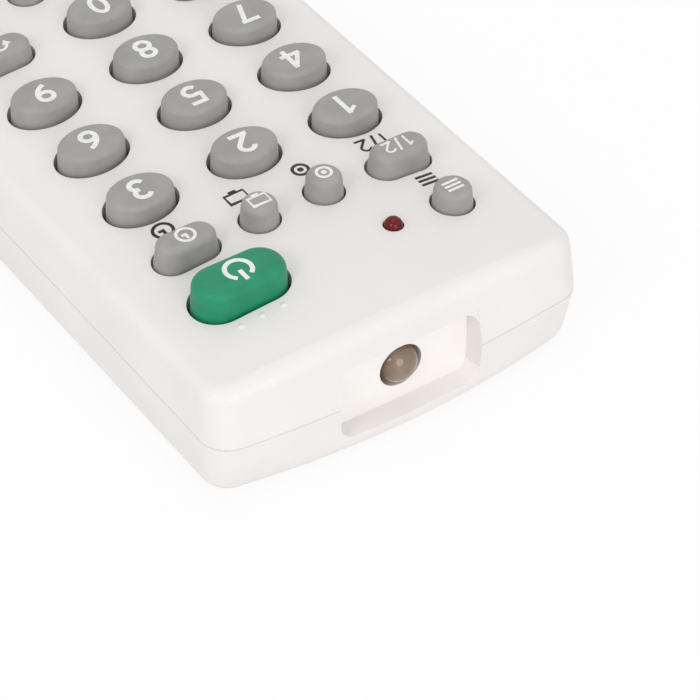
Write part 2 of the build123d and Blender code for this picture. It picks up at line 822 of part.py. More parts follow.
def bridge_contact():
    # one strip behind both cells: a flat contact for the left one and a spring for the right one
    left = contact_plate(-cell_pitch / 2, False, True)
    right = contact_plate(cell_pitch / 2, False, False)
    strip = box(-cell_pitch / 2, cell_pitch / 2, bay_tail, bay_tail + contact_thickness,
                cell_z - contact_tail / 2, cell_z + contact_tail / 2)
    return left + right + strip + spring_coil(cell_pitch / 2, False)


def case_screws():
    group = []
    head_low = screw_seat - screw_head_height
    for y in screw_places:
        for x in (-screw_x, screw_x):
            head = post(x, y, head_low, screw_seat, screw_head_radius)
            head = chamfer(head.faces().sort_by(Axis.Z)[0].edges(), screw_slot / 2)
            for turn in (0, 90):
                bar = Box(screw_slot_length, screw_slot, 2 * screw_slot_depth)
                head -= Pos(x, y, head_low) * Rot(0, 0, turn) * bar
            shank = post(x, y, screw_seat, screw_tip, screw_radius)
            shank = chamfer(shank.faces().sort_by(Axis.Z)[-1].edges(), screw_radius / 2)
            group.append(head + shank)
    return Compound(children=group)


def main():
    body = case_body()
    pieces = {
        "upper_case": upper_case(body),
        "lower_case": lower_case(body),
        "battery_door": battery_door(body),
        "circuit_board": circuit_board(),
        "keypad_mat": keypad_mat(),
        "controller_chip": controller_chip(),
        "resonator": resonator(),
        "capacitor": capacitor(),
        "drive_transistor": drive_transistor(),
        "resistors": resistors(),
        "ir_light": ir_light(),
        "indicator_light": indicator_light(),
        "cell_left": cell(-cell_pitch / 2, False),
        "cell_right": cell(cell_pitch / 2, True),
        "front_spring": front_spring(),
        "front_contact": front_contact(),
        "bridge_contact": bridge_contact(),
        "case_screws": case_screws(),
    }
    for name, kind, x, row in keys:
        pieces["key_" + name] = key_solid(kind, x, row)
    for name, solid in pieces.items():
        export_step(solid, f"parts/{name}.step")


main()
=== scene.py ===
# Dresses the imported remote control: finishes, signs, studio and camera, in metres, in the frame of the CAD
import bpy
import bmesh
from math import atan2, cos, radians, sin, tan
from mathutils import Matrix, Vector
from mathutils.bvhtree import BVHTree


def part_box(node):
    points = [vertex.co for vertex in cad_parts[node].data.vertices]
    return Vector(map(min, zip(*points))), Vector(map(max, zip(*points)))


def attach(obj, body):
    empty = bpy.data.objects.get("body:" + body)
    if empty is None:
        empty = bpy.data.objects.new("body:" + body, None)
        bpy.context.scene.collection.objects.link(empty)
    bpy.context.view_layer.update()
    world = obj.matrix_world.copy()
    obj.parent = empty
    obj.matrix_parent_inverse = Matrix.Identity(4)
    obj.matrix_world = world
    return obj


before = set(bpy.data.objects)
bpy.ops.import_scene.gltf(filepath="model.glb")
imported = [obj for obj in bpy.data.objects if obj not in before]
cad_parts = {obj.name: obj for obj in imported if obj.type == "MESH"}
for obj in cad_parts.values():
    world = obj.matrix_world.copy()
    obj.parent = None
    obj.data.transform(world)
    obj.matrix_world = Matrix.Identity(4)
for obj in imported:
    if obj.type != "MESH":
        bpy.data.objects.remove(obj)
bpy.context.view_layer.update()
mm = 0.001
blotchDetail = 3.0       # of the noise that colours follow
grainDetail = 2.0        # of the noise that a surface's fine relief follows

case = {
    "colour": (237, 233, 231),        # white plastic, a little warm
    "shaded": (231, 227, 225),        # the same where the mould left it duller
    "patchSize": 22 * mm,
    "glossPatches": 6,                # patches of gloss along one patch of colour
    "grainSize": 0.35 * mm,
    "grainHeight": 0.012 * mm,
    "roughness": 0.42,
    "glossier": 0.05,
    "duller": 0.06,
    "bleed": 0.06,                    # light that spreads under the surface
    "bleedDepth": (1 * mm, 0.8 * mm, 0.7 * mm),
    "bleedScale": 0.6,
}
window = {
    "floorColour": (246, 242, 239),   # painted light: the window's floor is painted paler, lifting the shade its walls cast on it
    "sidePaintedShade": (226, 222, 219),    # painted shade: its upright side is painted darker, as less light falls on it
    "lampShow": 1.3 * mm,             # how far the lamp stands out of the floor
    "halfWidth": 8.3 * mm,
    "drop": 4.35 * mm,                # from the lamp's axis to the lower edge
    "flare": 12.0,                    # degrees
    "slack": 0.05 * mm,
}
rubber = {
    "grey": (160, 157, 157),
    "greyWorn": (152, 149, 148),
    "green": (10, 139, 100),
    "greenWorn": (6, 129, 91),
    "blotchSize": 2.4 * mm,
    "glossSize": 0.8 * mm,
    "grainSize": 0.22 * mm,
    "grainHeight": 0.006 * mm,
    "roughness": 0.52,
    "glossier": 0.06,
    "duller": 0.08,
    "sheen": 0.05,
    "sheenRoughness": 0.4,
}
ink = {
    "white": (240, 240, 238),
    "black": (34, 32, 34),
    "lift": 0.02 * mm,                # print stands this much proud
    "depth": 0.05 * mm,
    "layer": 0.004 * mm,              # between crossing strokes
    "weld": 0.0005 * mm,
    "thin": 0.95,                     # how dark the thinnest print is
    "blotchSize": 0.5 * mm,
    "grainSize": 0.25 * mm,
    "grainHeight": 0.004 * mm,
    "roughness": 0.5,
}


# Node helpers

def linear(colour):
    parts = [c / 255 for c in colour]
    return tuple(c / 12.92 if c < 0.04045 else ((c + 0.055) / 1.055) ** 2.4 for c in parts) + (1.0,)


def newMaterial(name, roughness, metallic=0.0):
    material = bpy.data.materials.new(name)
    material.use_nodes = True
    shader = material.node_tree.nodes["Principled BSDF"]
    shader.inputs["Roughness"].default_value = roughness
    shader.inputs["Metallic"].default_value = metallic
    return material, shader


def addNode(material, kind, inputs=None, **settings):
    node = material.node_tree.nodes.new(kind)
    for key, value in settings.items():
        setattr(node, key, value)
    for key, value in (inputs or {}).items():
        node.inputs[key].default_value = value
    return node


def wire(material, output, target):
    material.node_tree.links.new(output, target)


def place(material):
    return addNode(material, "ShaderNodeTexCoord").outputs["Object"]


def noise(material, size, detail=blotchDetail):
    # size is the width of one blotch, in metres
    node = addNode(material, "ShaderNodeTexNoise", {"Scale": 1 / size, "Detail": detail})
    wire(material, place(material), node.inputs["Vector"])
    return node.outputs["Fac"]


def ramp(material, factor, low, high, start=0.35, end=0.65):
    node = addNode(material, "ShaderNodeValToRGB")
    node.color_ramp.elements[0].position = start
    node.color_ramp.elements[0].color = low
    node.color_ramp.elements[1].position = end
    node.color_ramp.elements[1].color = high
    wire(material, factor, node.inputs["Fac"])
    return node.outputs["Color"]


def blendColour(material, factor, low, high):
    node = addNode(material, "ShaderNodeMix", data_type="RGBA")
    wire(material, factor, node.inputs[0])
    for value, socket in ((low, node.inputs[6]), (high, node.inputs[7])):
        if isinstance(value, tuple):
            socket.default_value = value
        else:
            wire(material, value, socket)
    return node.outputs[2]


def grain(material, shader, size, height):
    bump = addNode(material, "ShaderNodeBump", {"Strength": 1.0, "Distance": height})
    wire(material, noise(material, size, grainDetail), bump.inputs["Height"])
    wire(material, bump.outputs["Normal"], shader.inputs["Normal"])


def mapRange(material, factor, low, high):
    node = addNode(material, "ShaderNodeMapRange", {"To Min": low, "To Max": high})
    wire(material, factor, node.inputs["Value"])
    return node.outputs["Result"]


def beyond(material, axis, limit, middle=None):
    # 1 where the coordinate is over the limit, or further than it from the middle
    split = addNode(material, "ShaderNodeSeparateXYZ")
    wire(material, place(material), split.inputs["Vector"])
    value = split.outputs[axis]
    if middle is not None:
        off = addNode(material, "ShaderNodeMath", {1: middle}, operation="SUBTRACT")
        wire(material, value, off.inputs[0])
        size = addNode(material, "ShaderNodeMath", operation="ABSOLUTE")
        wire(material, off.outputs[0], size.inputs[0])
        value = size.outputs[0]
    test = addNode(material, "ShaderNodeMath", {1: limit}, operation="GREATER_THAN")
    wire(material, value, test.inputs[0])
    return test.outputs[0]


def maths(material, kind, first, second=0.0, third=0.0):
    node = addNode(material, "ShaderNodeMath", operation=kind)
    for value, socket in ((first, node.inputs[0]), (second, node.inputs[1]), (third, node.inputs[2])):
        if isinstance(value, float):
            socket.default_value = value
        else:
            wire(material, value, socket)
    return node.outputs[0]


# Finishes of the pieces that come over from the CAD

def lightAndShadeMasks(material):
    # 1 on the floor of the window in the infrared end, where painted light goes, and 1 on its upright side
    # towards -X, where painted shade goes
    low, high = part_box("ir_light")
    floorY, axis = float(high[1]) - window["lampShow"], float(low[2] + high[2]) / 2
    slack = window["slack"]
    split = addNode(material, "ShaderNodeSeparateXYZ")
    wire(material, place(material), split.inputs["Vector"])
    x, y, z = split.outputs[:3]
    out = maths(material, "MULTIPLY", maths(material, "SUBTRACT", y, floorY), tan(radians(window["flare"])))
    level = maths(material, "COMPARE", z, axis, window["drop"] + slack)
    near = maths(material, "COMPARE", x, 0.0, window["halfWidth"] + slack)
    floor = maths(material, "MULTIPLY", maths(material, "COMPARE", y, floorY, slack), near)
    upright = maths(material, "COMPARE", maths(material, "ADD", x, out), -window["halfWidth"], slack)
    ahead = maths(material, "GREATER_THAN", y, floorY + slack)
    side = maths(material, "MULTIPLY", upright, ahead)
    return maths(material, "MULTIPLY", floor, level), maths(material, "MULTIPLY", side, level)


def casePlastic():
    material, shader = newMaterial("whiteCasePlastic", case["roughness"])
    patches = ramp(material, noise(material, case["patchSize"]), linear(case["shaded"]),
                   linear(case["colour"]))
    floor, side = lightAndShadeMasks(material)
    # painted light on the window's floor, painted shade on its upright side
    colour = blendColour(material, floor, patches, linear(window["floorColour"]))
    colour = blendColour(material, side, colour, linear(window["sidePaintedShade"]))
    wire(material, colour, shader.inputs["Base Color"])
    gloss = noise(material, case["patchSize"] / case["glossPatches"])
    wire(material, mapRange(material, gloss, case["roughness"] - case["glossier"],
                            case["roughness"] + case["duller"]), shader.inputs["Roughness"])
    shader.inputs["Subsurface Weight"].default_value = case["bleed"]
    shader.inputs["Subsurface Radius"].default_value = case["bleedDepth"]
    shader.inputs["Subsurface Scale"].default_value = case["bleedScale"]
    grain(material, shader, case["grainSize"], case["grainHeight"])
    return material


def keyRubber(name, colour, worn):
    material, shader = newMaterial(name, rubber["roughness"])
    wire(material, ramp(material, noise(material, rubber["blotchSize"]), linear(worn), linear(colour)),
         shader.inputs["Base Color"])
    gloss = noise(material, rubber["glossSize"])
    wire(material, mapRange(material, gloss, rubber["roughness"] - rubber["glossier"],
                            rubber["roughness"] + rubber["duller"]), shader.inputs["Roughness"])
    shader.inputs["Sheen Weight"].default_value = rubber["sheen"]
    shader.inputs["Sheen Roughness"].default_value = rubber["sheenRoughness"]
    grain(material, shader, rubber["grainSize"], rubber["grainHeight"])
    return material


board = {
    "resist": (24, 92, 50),
    "resistPaler": (28, 100, 56),
    "track": (60, 140, 78),
    "trackPitch": 9 * mm,
    "trackWidth": 0.035,              # share of the pitch
    "roughness": 0.32,
    "grainSize": 0.6 * mm,
    "grainHeight": 0.02 * mm,
}


def boardFinish():
    # green resist with paler tracks under it
    material, shader = newMaterial("boardResist", board["roughness"])
    looks = {"Scale": 1 / board["trackPitch"], "Mortar Size": board["trackWidth"],
             "Color1": linear(board["resist"]), "Color2": linear(board["resistPaler"]),
             "Mortar": linear(board["track"])}
    tracks = addNode(material, "ShaderNodeTexBrick", looks)
    wire(material, place(material), tracks.inputs["Vector"])
    wire(material, tracks.outputs["Color"], shader.inputs["Base Color"])
    grain(material, shader, board["grainSize"], board["grainHeight"])
    return material


chip = {
    "black": (26, 26, 28),
    "blackPaler": (38, 38, 40),
    "pins": (196, 196, 192),
    "halfWidth": 3.7 * mm,            # of the body, without its pins
    "blotchSize": 0.4 * mm,
    "roughness": 0.55,
    "pinRoughness": 0.3,
    "grainSize": 0.15 * mm,
    "grainHeight": 0.004 * mm,
}


def blackMoulding(name):
    material, shader = newMaterial(name, chip["roughness"])
    body = ramp(material, noise(material, chip["blotchSize"]), linear(chip["black"]),
                linear(chip["blackPaler"]))
    wire(material, body, shader.inputs["Base Color"])
    grain(material, shader, chip["grainSize"], chip["grainHeight"])
    return material, shader, body


def chipFinish():
    # black moulding compound, tinned pins outside it
    low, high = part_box("controller_chip")
    material, shader, body = blackMoulding("chipMoulding")
    pins = beyond(material, "X", chip["halfWidth"], (low[0] + high[0]) / 2)
    wire(material, blendColour(material, pins, body, linear(chip["pins"])), shader.inputs["Base Color"])
    wire(material, pins, shader.inputs["Metallic"])
    wire(material, mapRange(material, pins, chip["roughness"], chip["pinRoughness"]),
         shader.inputs["Roughness"])
    return material


metal = {
    "nickel": (206, 204, 198),
    "nickelRoughness": 0.26,
    "can": (198, 200, 204),
    "canRoughness": 0.3,
    "streak": 0.5 * mm,
    "darker": 0.88,
    "glossier": 0.06,
    "duller": 0.1,
    "grainHeight": 0.002 * mm,
}


def metalFinish(name, colour, roughness):
    material, shader = newMaterial(name, roughness, 1.0)
    darker = tuple(int(c * metal["darker"]) for c in colour)
    wire(material, ramp(material, noise(material, metal["streak"]), linear(darker), linear(colour)),
         shader.inputs["Base Color"])
    gloss = noise(material, metal["streak"] / 3)
    wire(material, mapRange(material, gloss, roughness - metal["glossier"], roughness + metal["duller"]),
         shader.inputs["Roughness"])
    grain(material, shader, metal["streak"] / 4, metal["grainHeight"])
    return material


resistor = {
    "body": (196, 156, 104),
    "bands": (122, 44, 30),
    "bandPitch": 3.8 * mm,
    "bandEdges": (0.78, 0.82),
    "roughness": 0.35,
    "grainSize": 0.3 * mm,
    "grainHeight": 0.004 * mm,
}


def resistorFinish():
    # tan body with colour bands
    material, shader = newMaterial("resistorBands", resistor["roughness"])
    wave = addNode(material, "ShaderNodeTexWave", {"Scale": 1 / resistor["bandPitch"]}, bands_direction="X")
    wire(material, place(material), wave.inputs["Vector"])
    bands = ramp(material, wave.outputs["Fac"], linear(resistor["body"]), linear(resistor["bands"]),
                 *resistor["bandEdges"])
    wire(material, bands, shader.inputs["Base Color"])
    grain(material, shader, resistor["grainSize"], resistor["grainHeight"])
    return material


resonator = {
    "body": (206, 128, 40),
    "bodyPaler": (222, 142, 50),
    "blotchSize": 0.9 * mm,
    "roughness": 0.4,
    "grainSize": 0.4 * mm,
    "grainHeight": 0.01 * mm,
}


def resonatorFinish():
    material, shader = newMaterial("ceramicBlock", resonator["roughness"])
    body = ramp(material, noise(material, resonator["blotchSize"]), linear(resonator["body"]),
                linear(resonator["bodyPaler"]))
    wire(material, body, shader.inputs["Base Color"])
    grain(material, shader, resonator["grainSize"], resonator["grainHeight"])
    return material


cell = {
    "sleeve": (38, 42, 48),
    "band": (176, 178, 180),
    "steel": (205, 205, 200),
    "capLength": 1.2 * mm,            # bare steel at each end
    "bandStart": 0.42,                # share of the half length
    "blotchSize": 1.5 * mm,
    "roughness": (0.24, 0.34),
    "grainSize": 1.2 * mm,
    "grainHeight": 0.004 * mm,
}


def cellFinish(name, buttonForward):
    # film sleeve with a bright band at the plus end, bare steel at both ends
    low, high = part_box(name)
    middle = (low[1] + high[1]) / 2
    half = (high[1] - low[1]) / 2
    towards = 1 if buttonForward else -1
    material, shader = newMaterial(name + "Sleeve", cell["roughness"][0])
    steel = beyond(material, "Y", half - cell["capLength"], middle)
    ahead = beyond(material, "Y", middle + towards * half * cell["bandStart"])
    sleeve, band = linear(cell["sleeve"]), linear(cell["band"])
    order = (sleeve, band) if buttonForward else (band, sleeve)
    colour = blendColour(material, ahead, *order)
    wire(material, blendColour(material, steel, colour, linear(cell["steel"])), shader.inputs["Base Color"])
    wire(material, steel, shader.inputs["Metallic"])
    wire(material, mapRange(material, noise(material, cell["blotchSize"]), *cell["roughness"]),
         shader.inputs["Roughness"])
    grain(material, shader, cell["grainSize"], cell["grainHeight"])
    return material


irLight = {
    "length": 8.55 * mm,              # of the clear part, in front of its leads
    "halfWidth": 2.3 * mm,
    # painted light and shade across the lens: darkest at its +X edge, palest a little towards -X
    "across": ((0.0, (130, 110, 93)), (0.3, (122, 102, 86)), (0.7, (150, 130, 106)), (1.0, (70, 50, 36))),
    "cloud": (128, 110, 90),
    "cloudSize": 1.1 * mm,
    "leads": (190, 190, 186),
    "roughness": 0.07,
    "leadRoughness": 0.3,
    "coat": 0.3,
    "coatRoughness": 0.03,
}


def smokedLens():
    # dark clear plastic in front with painted light and shade across it, tinned leads behind it
    low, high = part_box("ir_light")
    material, shader = newMaterial("smokedLens", irLight["roughness"])
    clear = beyond(material, "Y", high[1] - irLight["length"])
    split = addNode(material, "ShaderNodeSeparateXYZ")
    wire(material, place(material), split.inputs["Vector"])
    across = addNode(material, "ShaderNodeMapRange",
                     {"From Min": -irLight["halfWidth"], "From Max": irLight["halfWidth"]})
    wire(material, split.outputs["X"], across.inputs["Value"])
    smoke = addNode(material, "ShaderNodeValToRGB")
    for position, colour in irLight["across"][1:3]:
        smoke.color_ramp.elements.new(position)
    for stop, (position, colour) in zip(smoke.color_ramp.elements, irLight["across"]):
        stop.position = position
        stop.color = linear(colour)
    wire(material, across.outputs["Result"], smoke.inputs["Fac"])
    cloud = blendColour(material, noise(material, irLight["cloudSize"]), smoke.outputs["Color"],
                        linear(irLight["cloud"]))
    wire(material, blendColour(material, clear, linear(irLight["leads"]), cloud), shader.inputs["Base Color"])
    wire(material, mapRange(material, clear, 1.0, 0.0), shader.inputs["Metallic"])
    wire(material, mapRange(material, clear, irLight["leadRoughness"], irLight["roughness"]),
         shader.inputs["Roughness"])
    shader.inputs["Coat Weight"].default_value = irLight["coat"]
    shader.inputs["Coat Roughness"].default_value = irLight["coatRoughness"]
    return material


indicator = {
    # painted light in the middle of the lens, painted shade at its rim
    "middle": (112, 8, 10),
    "edge": (60, 2, 4),
    "cloud": (88, 4, 6),
    "cloudSize": 0.6 * mm,
    "facing": 0.35,
    "fade": (0.1, 0.7),
    "roughness": 0.16,
    "shine": 0.3,
}


def redLens():
    # deep red, with painted light where it faces the eye and painted shade towards the rim
    material, shader = newMaterial("redLens", indicator["roughness"])
    shader.inputs["Specular IOR Level"].default_value = indicator["shine"]
    facing = addNode(material, "ShaderNodeLayerWeight", {"Blend": indicator["facing"]})
    colour = ramp(material, facing.outputs["Facing"], linear(indicator["middle"]), linear(indicator["edge"]),
                  *indicator["fade"])
    cloud = blendColour(material, noise(material, indicator["cloudSize"]), colour, linear(indicator["cloud"]))
    wire(material, cloud, shader.inputs["Base Color"])
    return material


def dressNodes():
    white = casePlastic()
    grey = keyRubber("greySilicone", rubber["grey"], rubber["greyWorn"])
    green = keyRubber("greenSilicone", rubber["green"], rubber["greenWorn"])
    steel = metalFinish("nickelPlate", metal["nickel"], metal["nickelRoughness"])
    finishes = {
        "upper_case": white, "lower_case": white, "battery_door": white,
        "circuit_board": boardFinish(), "keypad_mat": grey, "key_power": green,
        "controller_chip": chipFinish(),
        "drive_transistor": blackMoulding("transistorMoulding")[0],
        "resonator": resonatorFinish(), "resistors": resistorFinish(),
        "capacitor": metalFinish("canAluminium", metal["can"], metal["canRoughness"]),
        "ir_light": smokedLens(), "indicator_light": redLens(),
        "cell_left": cellFinish("cell_left", False), "cell_right": cellFinish("cell_right", True),
        "front_spring": steel, "front_contact": steel, "bridge_contact": steel, "case_screws": steel,
    }
    for name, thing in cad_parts.items():
        material = finishes.get(name, grey)
        thing.data.materials.clear()
        thing.data.materials.append(material)
    print("finishes on", len(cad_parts), "nodes")


# Prints: flat outlines in millimetres, x to the user's right, y away from the user

def arcPoints(radius, start, end, count=28, centre=(0.0, 0.0)):
    steps = [radians(start + (end - start) * i / (count - 1)) for i in range(count)]
    return [(centre[0] + radius * cos(a), centre[1] + radius * sin(a)) for a in steps]


def ringPoints(radius, centre=(0.0, 0.0), count=48):
    # a full turn whose last point stops one step short of the first
    return arcPoints(radius, 0, 360 - 360 / count, count, centre)


def ribbon(points, width, closed=False):
    # a line of this width as one strip of quads
    sharpest, longest = 0.5, 1.6      # limits of the stretch at a corner
    count = len(points)
    quads = []
    edges = []
    for i, (x, y) in enumerate(points):
        before = points[i - 1] if i or closed else points[i]
        after = points[(i + 1) % count] if i + 1 < count or closed else points[i]
        heading = atan2(after[1] - before[1], after[0] - before[0])
        dx, dy = -sin(heading) * width / 2, cos(heading) * width / 2
        if 0 < i < count - 1:
            turnIn = atan2(y - points[i - 1][1], x - points[i - 1][0])
            stretch = min(1 / max(cos(heading - turnIn), sharpest), longest)
            dx, dy = dx * stretch, dy * stretch
        edges.append(((x + dx, y + dy), (x - dx, y - dy)))
    last = count if closed else count - 1
    for i in range(last):
        a, b = edges[i], edges[(i + 1) % count]
        quads.append([a[1], b[1], b[0], a[0]])
    return quads


def disc(radius, centre=(0.0, 0.0)):
    return [ringPoints(radius, centre)]


def bar(x0, x1, y0, y1):
    return [[(x0, y0), (x1, y0), (x1, y1), (x0, y1)]]


def triangle(size, heading):
    corners = [radians(heading + turn) for turn in (0, 120, 240)]
    return [[(size * cos(a), size * sin(a)) for a in corners]]


def signShapes(line):
    # one entry for each sign, a list of strokes; line is the width of a stroke
    speaker = [[(-1.1, -0.4), (-0.5, -0.4), (0.15, -1.0), (0.15, 1.0), (-0.5, 0.4), (-1.1, 0.4)]]
    upright = bar(-line * 0.7, line * 0.7, -1.1, 1.1)
    flat = bar(-1.1, 1.1, -line * 0.7, line * 0.7)
    frameLine = [(-1.25, -0.8), (1.25, -0.8), (1.25, 0.8), (-1.25, 0.8)]
    return {
        "standby": [ribbon(arcPoints(1.15, 125, 415), line * 1.2), bar(-line * 0.6, line * 0.6, 0.15, 1.45)],
        "menu": [bar(-1.05, 1.05, y - line / 2, y + line / 2) for y in (-0.65, 0.0, 0.65)],
        "scan": [ribbon(ringPoints(0.8), line, True), disc(0.32)],
        "screen": [ribbon(frameLine, line, True), bar(-0.5, 0.5, -1.3, -1.3 + line)],
        "clock": [ribbon(ringPoints(1.0), line, True), bar(-line / 2, line / 2, 0.0, 0.66),
                  bar(-line / 2, 0.5, -line / 2, line / 2)],
        "recall": [ribbon(arcPoints(1.0, -60, 170), line), [[(-1.55, 0.3), (-0.4, 0.3), (-0.98, -0.55)]]],
        "moon": [[arcPoints(1.1, 60, 300, 24) + arcPoints(0.95, 282, 78, 24, (0.5, 0.0))]],
        "sound": [speaker, ribbon(arcPoints(0.8, -45, 45, 12, (0.1, 0)), line),
                  ribbon(arcPoints(1.35, -45, 45, 12, (0.1, 0)), line)],
        "mute": [speaker, ribbon([(0.55, -0.45), (1.35, 0.45)], line),
                 ribbon([(0.55, 0.45), (1.35, -0.45)], line)],
        "info": [bar(-line * 0.7, line * 0.7, -1.0, 0.45), disc(line * 0.8, (0, 1.0))],
        "up": [triangle(1.15, 90)], "down": [triangle(1.15, 270)],
        "plus": [flat, upright], "minus": [flat], "dot": [disc(0.6)],
        "dashes": [bar(x, x + 1.0, -line / 2, line / 2) for x in (-1.9, -0.5, 0.9)],
    }


def inkFinish(name, colour):
    material, shader = newMaterial(name, ink["roughness"])
    thin = tuple(int(c * ink["thin"]) for c in colour)
    wire(material, ramp(material, noise(material, ink["blotchSize"]), linear(thin), linear(colour)),
         shader.inputs["Base Color"])
    grain(material, shader, ink["grainSize"], ink["grainHeight"])
    return material


def digitShapes(line):
    # the ten digits as strokes, three high and about two wide
    top, foot, side = 1.5 - line / 2, -1.5 + line / 2, 0.98 - line / 2
    bowl = (top - foot) / 4 + 0.03
    wide = side / bowl
    long = top - foot - bowl

    def curve(radius, start, end, steps, y):
        return [(x * wide, py) for x, py in arcPoints(radius, start, end, steps, (0, y))]

    ring = ribbon(curve(bowl, 0, 350, 36, foot + bowl), line, True)
    backCurve = [(x * wide, y) for x, y in arcPoints(long, 180, 112, 16, (long - bowl, foot + bowl))]
    back = ribbon(backCurve, line)
    oval = [(x * wide, y * top / bowl) for x, y in arcPoints(bowl, 0, 351, 40)]
    return {
        "0": [ribbon(oval, line, True)],
        "1": [bar(0.0, line, -1.5, 1.5), ribbon([(-0.62, 0.7), (line * 0.6, 1.32)], line * 0.8)],
        "2": [ribbon(curve(bowl, 165, -38, 22, top - bowl) + [(-side, foot)], line),
              bar(-0.98, 0.98, -1.5, -1.5 + line)],
        "3": [ribbon(curve(bowl, 158, -86, 22, top - bowl), line),
              ribbon(curve(bowl, 86, -158, 22, foot + bowl), line)],
        "4": [bar(0.22, 0.22 + line, -1.5, 1.5), bar(-1.0, 1.15, -0.86, -0.86 + line),
              ribbon([(0.42, 1.28), (-0.8, -0.62)], line * 0.9)],
        "5": [bar(-0.8, 0.88, 1.5 - line, 1.5), ribbon([(-side * 0.84, 1.4), (-side, -0.02)], line * 0.9),
              ribbon([(-0.94, 0.04)] + curve(bowl, 116, -142, 26, foot + bowl), line)],
        "6": [ring, back],
        "7": [bar(-0.98, 0.98, 1.5 - line, 1.5), ribbon([(0.7, 1.3), (-0.3, -1.5)], line)],
        "8": [ring, ribbon(curve(bowl * 0.94, 0, 350, 36, top - bowl * 0.94), line, True)],
        "9": [[[(-x, -y) for x, y in patch] for patch in stroke] for stroke in (ring, back)],
    }


def moved(strokes, dx, size=1.0):
    return [[[(x * size + dx, y * size) for x, y in patch] for patch in stroke] for stroke in strokes]


def makePrint(name, strokes, at, surface, material, body, size=1.0):
    # lays the shapes on the surface: a height, or the face of the case
    shell = bmesh.new()
    x0, y0 = at
    for layer, stroke in enumerate(strokes):      # crossing strokes lie at slightly different heights
        for patch in stroke:
            corners = []
            for x, y in patch:
                px, py = (x0 + x * size) * mm, (y0 + y * size) * mm
                pz = surface if isinstance(surface, float) else surface(px, py)
                corners.append(shell.verts.new((px, py, pz + ink["lift"] + layer * ink["layer"])))
            face = shell.faces.new(corners)
            face.normal_update()
            if face.normal.z < 0:
                face.normal_flip()
    bmesh.ops.remove_doubles(shell, verts=shell.verts, dist=ink["weld"])
    grown = bmesh.ops.extrude_face_region(shell, geom=shell.faces[:], use_keep_orig=True)
    for v in [g for g in grown["geom"] if isinstance(g, bmesh.types.BMVert)]:
        v.co.z -= 2 * ink["lift"] + ink["depth"]
    bmesh.ops.recalc_face_normals(shell, faces=shell.faces[:])
    mesh = bpy.data.meshes.new(name)
    shell.to_mesh(mesh)
    shell.free()
    mesh.materials.append(material)
    piece = bpy.data.objects.new(name, mesh)
    bpy.context.collection.objects.link(piece)
    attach(piece, body)
    return piece


digits = {
    "words": {"one": "1", "two": "2", "three": "3", "four": "4", "five": "5", "six": "6", "seven": "7",
              "eight": "8", "nine": "9", "zero": "0"},
    "line": 0.5,
    "size": 1.14,
}
signLine = 0.34                 # width of a stroke
signGrowth = 1.1                # of a sign on the case
signs = {                       # on the key, size of the sign, and how far behind the key the case repeats it
    "power": ("standby", 1.25, 0.0), "menu": ("menu", 0.95, 4.6), "scan": ("scan", 1.0, 4.5),
    "screen": ("screen", 0.85, 4.4), "timer": ("clock", 1.0, 4.6), "recall": ("recall", 1.0, 0.0),
    "sleep": ("moon", 1.0, 4.5), "sound": ("sound", 0.9, 4.5), "mute": ("mute", 0.85, 4.5),
    "info": ("info", 0.85, 4.5), "dash": ("dashes", 0.85, 0.0), "channel_up": ("up", 1.1, 0.0),
    "channel_down": ("down", 1.1, 0.0), "volume_down": ("minus", 1.1, 0.0), "volume_up": ("plus", 1.1, 0.0),
    "confirm": ("dot", 1.0, 0.0),
}
inputSign = {                   # a one and a two with a stroke between them
    "line": 0.4,
    "size": 0.62,
    "apart": 1.2,
    "stroke": [(-0.25, -1.05), (0.25, 1.05)],
    "strokeLine": 0.26,
    "behind": 4.4,
    "growth": 1.15,
}


def faceFinder():
    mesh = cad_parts["upper_case"].data
    tree = BVHTree.FromPolygons([v.co for v in mesh.vertices], [p.vertices for p in mesh.polygons])
    above = 50 * mm

    def height(x, y):
        hit = tree.ray_cast(Vector((x, y, above)), Vector((0, 0, -1)))[0]
        return hit.z
    return height


def middleOf(low, high):
    return (low[0] + high[0]) / 2 / mm, (low[1] + high[1]) / 2 / mm


def printKeys():
    white = inkFinish("whiteInk", ink["white"])
    black = inkFinish("blackInk", ink["black"])
    face = faceFinder()
    shapes = signShapes(signLine)
    figures = digitShapes(digits["line"])
    for name, word in digits["words"].items():
        low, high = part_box("key_" + name)
        makePrint("print_" + name, figures[word], middleOf(low, high), float(high[2]), white, "key_" + name,
                  digits["size"])
    for name, (sign, size, behind) in signs.items():
        low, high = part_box("key_" + name)
        x, y = middleOf(low, high)
        makePrint("print_" + name, shapes[sign], (x, y), float(high[2]), white, "key_" + name, size)
        if behind:
            makePrint("caseprint_" + name, shapes[sign], (x, y - behind), face, black, "case",
                      size * signGrowth)
    low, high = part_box("key_input")
    x, y = middleOf(low, high)
    thin = digitShapes(inputSign["line"])
    numbers = moved(thin["1"], -inputSign["apart"], inputSign["size"])
    numbers += [ribbon(inputSign["stroke"], inputSign["strokeLine"])]
    numbers += moved(thin["2"], inputSign["apart"], inputSign["size"])
    makePrint("print_input", numbers, (x, y), float(high[2]), white, "key_input")
    makePrint("caseprint_input", numbers, (x, y - inputSign["behind"]), face, black, "case",
              inputSign["growth"])
    print("prints on the keys and the case")


# Studio

